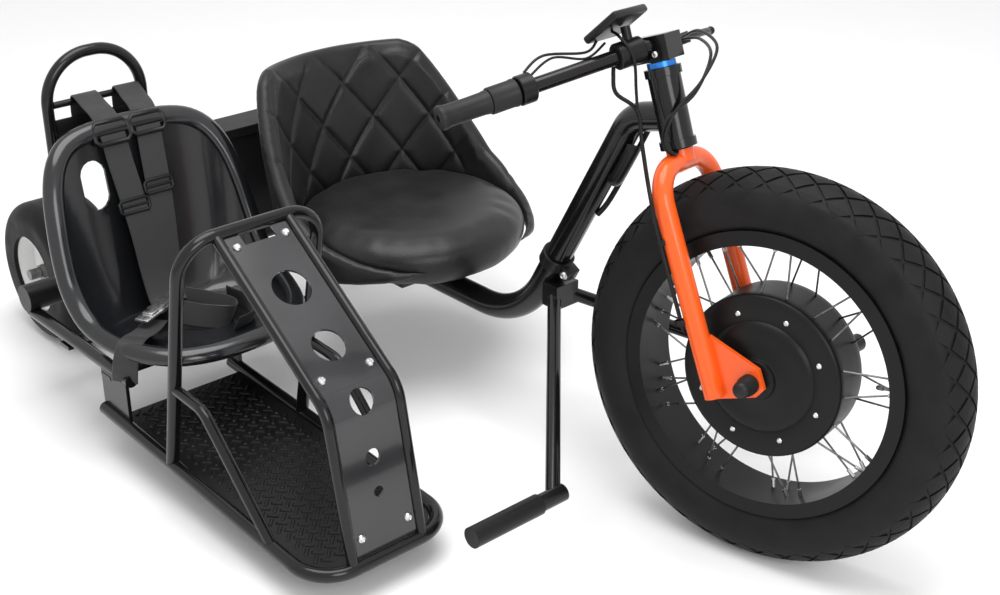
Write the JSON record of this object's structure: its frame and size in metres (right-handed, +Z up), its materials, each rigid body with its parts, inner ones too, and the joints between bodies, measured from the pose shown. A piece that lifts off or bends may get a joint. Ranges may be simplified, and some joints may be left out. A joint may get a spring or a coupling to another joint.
{
  "type": "electric drift trike",
  "caption": "Low electric drift trike with a fat hub-motor front wheel, padded rider seat, slick rear wheels and a caged passenger bucket seat at its right side.",
  "frame": {"origin": "on the ground, under the middle of the vehicle's box", "axes": "+X forward, +Y to the rider's left, +Z up"},
  "size_m": [1.7668, 1.092, 0.7883],
  "materials": {
    "black_paint": "gloss black powder coat",
    "panel_black": "semi-gloss black powder coat",
    "box_black": "satin black",
    "orange_paint": "gloss orange",
    "white_paint": "gloss white",
    "tyre_rubber": "matt tread rubber",
    "rim_black": "black anodised",
    "spoke_steel": "dark spokes",
    "motor_black": "satin black cast shell",
    "bright_steel": "zinc plated",
    "blue_anodised": "blue anodised",
    "grip_rubber": "moulded rubber",
    "black_plastic": "moulded black",
    "black_vinyl": "soft vinyl",
    "gloss_shell": "gloss moulded shell",
    "tread_plate": "black raised-tread plate"
  },
  "bodies": {
    "chassis": {"head_tube": "black_paint", "main_tube": "black_paint", "rear_cross": "black_paint", "axle_plates": "black_paint", "rear_axle": "bright_steel", "seat_post": "black_paint", "seat_cushion": "black_vinyl", "seat_back": "black_vinyl", "battery_box": "box_black", "battery_lid": "box_black", "peg_arms": "black_paint", "peg_bars": "black_paint", "peg_sleeves": "grip_rubber", "nose_base": "black_paint", "nose_hoop": "black_paint", "panel_rails": "black_paint", "side_braces": "black_paint", "nose_floor": "tread_plate", "bucket_seat": "gloss_shell", "seat_rails": "black_paint", "rest_hoop": "black_paint", "nose_panel": "panel_black", "bracket_plates": "black_paint", "rest_plate": "black_paint"},
    "steering": {"fork": "orange_paint", "front_axle": "bright_steel", "steerer": "rim_black", "spacer_ring": "blue_anodised", "handlebar": "black_paint", "grips": "grip_rubber", "throttle": "black_plastic", "brake_levers": "black_plastic", "display": "black_plastic"},
    "front_wheel": {"front_tyre": "tyre_rubber", "front_rim": "rim_black", "front_spokes": "spoke_steel", "hub_motor": "motor_black"},
    "right_wheel": {"right_tyre": "tyre_rubber", "right_rim": "white_paint"},
    "left_wheel": {"left_tyre": "tyre_rubber", "left_rim": "white_paint"}
  },
  "joints": [
    {"name": "steering_turn", "type": "hinge", "parent": "chassis", "child": "steering", "pos_m": [0.4127, 0.054, 0.585], "axis": [-0.342, 0, 0.9397], "range_deg": [-34, 6]},
    {"name": "front_wheel_spin", "type": "hinge", "parent": "steering", "child": "front_wheel", "pos_m": [0.59497, 0.0719, 0.29416], "axis": [-0.2273, 0.9703, -0.0827], "continuous": true},
    {"name": "right_wheel_spin", "type": "hinge", "parent": "chassis", "child": "right_wheel", "pos_m": [-0.7493, -0.366, 0.134], "axis": [0, 1, 0], "continuous": true},
    {"name": "left_wheel_spin", "type": "hinge", "parent": "chassis", "child": "left_wheel", "pos_m": [-0.7493, 0.474, 0.134], "axis": [0, 1, 0], "continuous": true}
  ]
}
